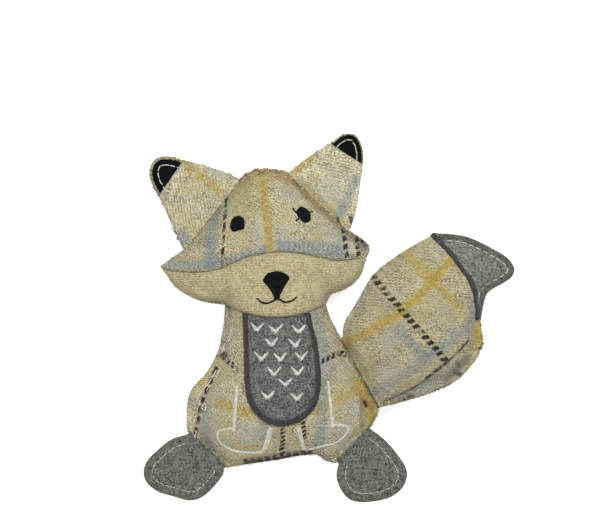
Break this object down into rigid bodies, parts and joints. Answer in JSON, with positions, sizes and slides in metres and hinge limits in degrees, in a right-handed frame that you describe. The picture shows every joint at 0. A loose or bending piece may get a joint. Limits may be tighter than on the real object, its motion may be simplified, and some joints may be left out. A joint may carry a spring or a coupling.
{
  "type": "plush fox",
  "caption": "Small stuffed fox pet toy of plaid tweed and felt, with folding ears, feet and tail, a felt tummy patch and an embroidered face.",
  "frame": {"origin": "middle of the outline, on the surface that the toy lies on", "axes": "+Z out of the front of the fox, +Y towards its head, +X to the side of its tail; left and right are as seen from the front"},
  "size_m": [0.1536, 0.1528, 0.0395],
  "materials": {
    "plaid_tweed": "woven beige tweed with ochre and grey-blue plaid stripes",
    "plain_twill": "plain warm beige twill",
    "grey_felt": "heather grey felt",
    "black_felt": "black felt",
    "dark_satin": "dark grey satin stitch",
    "black_thread": "black embroidery thread",
    "white_thread": "off-white embroidery thread",
    "fibre_filling": "white polyester fibre",
    "squeaker_plastic": "thin moulded plastic",
    "reed_plastic": "moulded plastic reed plug"
  },
  "bodies": {
    "torso": {"forehead_panel": "plaid_tweed", "muzzle_panel": "plain_twill", "head_back_panel": "plaid_tweed", "head_stuffing": "fibre_filling", "body_front_panel": "plaid_tweed", "body_back_panel": "plaid_tweed", "body_stuffing": "fibre_filling", "squeaker_bulb": "squeaker_plastic", "squeaker_reed": "reed_plastic", "tummy_patch": "grey_felt", "tummy_border": "dark_satin", "chevron_01": "white_thread", "chevron_02": "white_thread", "chevron_03": "white_thread", "chevron_04": "white_thread", "chevron_05": "white_thread", "chevron_06": "white_thread", "chevron_07": "white_thread", "chevron_08": "white_thread", "chevron_09": "white_thread", "chevron_10": "white_thread", "chevron_11": "white_thread", "chevron_12": "white_thread", "chevron_13": "white_thread", "left_leg_outline": "white_thread", "right_leg_outline": "white_thread", "nose": "black_thread", "mouth": "black_thread", "left_eye": "black_thread", "right_eye": "black_thread"},
    "left_ear": {"left_ear_front": "plaid_tweed", "left_ear_tip": "black_felt", "left_ear_back": "plaid_tweed"},
    "right_ear": {"right_ear_front": "plaid_tweed", "right_ear_tip": "black_felt", "right_ear_back": "plaid_tweed"},
    "left_foot": {"left_foot_front": "grey_felt", "left_foot_back": "grey_felt"},
    "right_foot": {"right_foot_front": "grey_felt", "right_foot_back": "grey_felt"},
    "tail": {"tail_front_panel": "plaid_tweed", "tail_band": "dark_satin", "tail_tip_front": "grey_felt", "tail_back_panel": "plaid_tweed", "tail_tip_back": "grey_felt", "tail_stuffing": "fibre_filling"}
  },
  "joints": [
    {"name": "left_ear_fold", "type": "hinge", "parent": "torso", "child": "left_ear", "pos_m": [-0.04869, 0.04327, 0.0165], "axis": [0.6183, 0.7859, 0], "range_deg": [-60, 60], "stiffness_Nm_per_rad": 0.002},
    {"name": "right_ear_fold", "type": "hinge", "parent": "torso", "child": "right_ear", "pos_m": [-0.00405, 0.04849, 0.0165], "axis": [0.7232, -0.6906, 0], "range_deg": [-60, 60], "stiffness_Nm_per_rad": 0.002},
    {"name": "left_foot_fold", "type": "hinge", "parent": "torso", "child": "left_foot", "pos_m": [-0.05049, -0.05468, 0.0165], "axis": [-0.732, 0.6813, 0], "range_deg": [-60, 60], "stiffness_Nm_per_rad": 0.002},
    {"name": "right_foot_fold", "type": "hinge", "parent": "torso", "child": "right_foot", "pos_m": [0.01023, -0.05265, 0.0165], "axis": [-0.6952, -0.7188, 0], "range_deg": [-60, 60], "stiffness_Nm_per_rad": 0.002},
    {"name": "tail_fold", "type": "hinge", "parent": "torso", "child": "tail", "pos_m": [0.01283, -0.02274, 0.0165], "axis": [0.4782, -0.8783, 0], "range_deg": [-45, 45], "stiffness_Nm_per_rad": 0.025}
  ]
}
